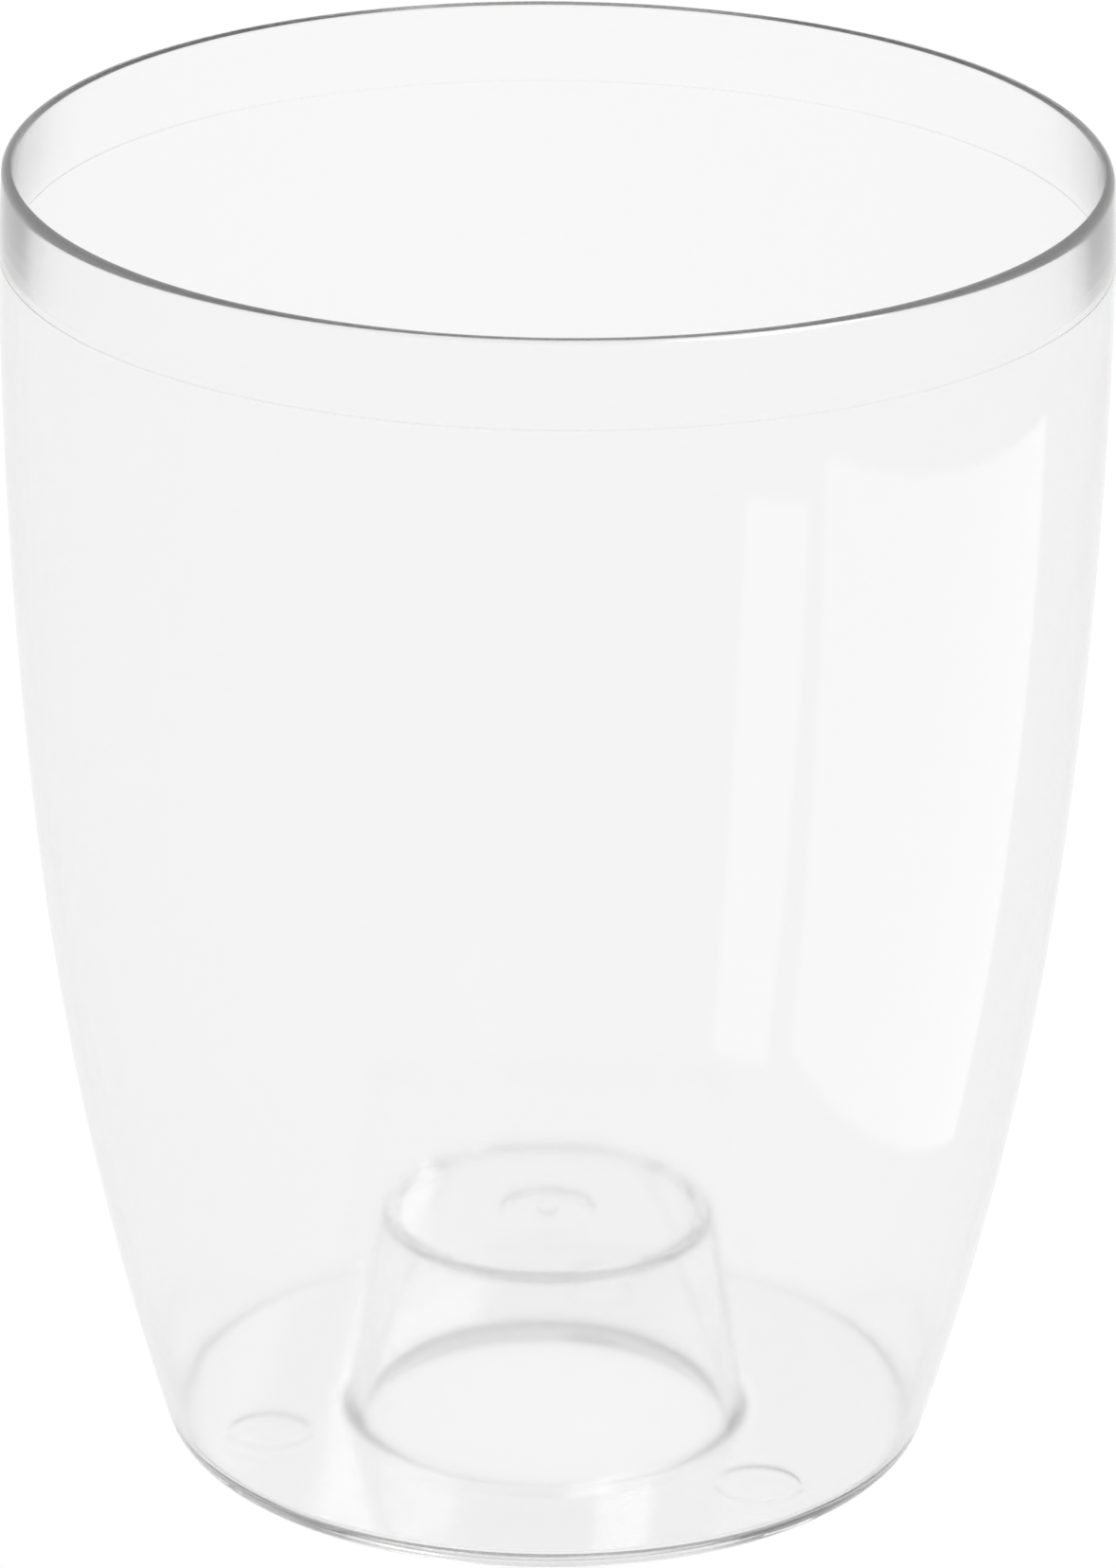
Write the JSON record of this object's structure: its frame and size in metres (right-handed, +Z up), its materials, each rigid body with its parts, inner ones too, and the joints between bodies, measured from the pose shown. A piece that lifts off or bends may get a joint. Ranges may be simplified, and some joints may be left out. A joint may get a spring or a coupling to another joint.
{
  "type": "orchid pot",
  "caption": "Clear plastic orchid pot: an open bowl with curved tapering sides, a straight band below the rim, a closed floor and a raised hollow pedestal in its middle.",
  "frame": {"origin": "on the pot's axis, in the plane of the table that it stands on", "axes": "+Z up along the axis, towards the mouth; -Y towards the viewer of the picture, +X to the right"},
  "size_m": [0.13, 0.13, 0.16],
  "materials": {
    "clear_plastic": "clear, colourless, polished as moulded"
  },
  "bodies": {
    "root": {"pot_shell": "clear_plastic"}
  },
  "joints": []
}
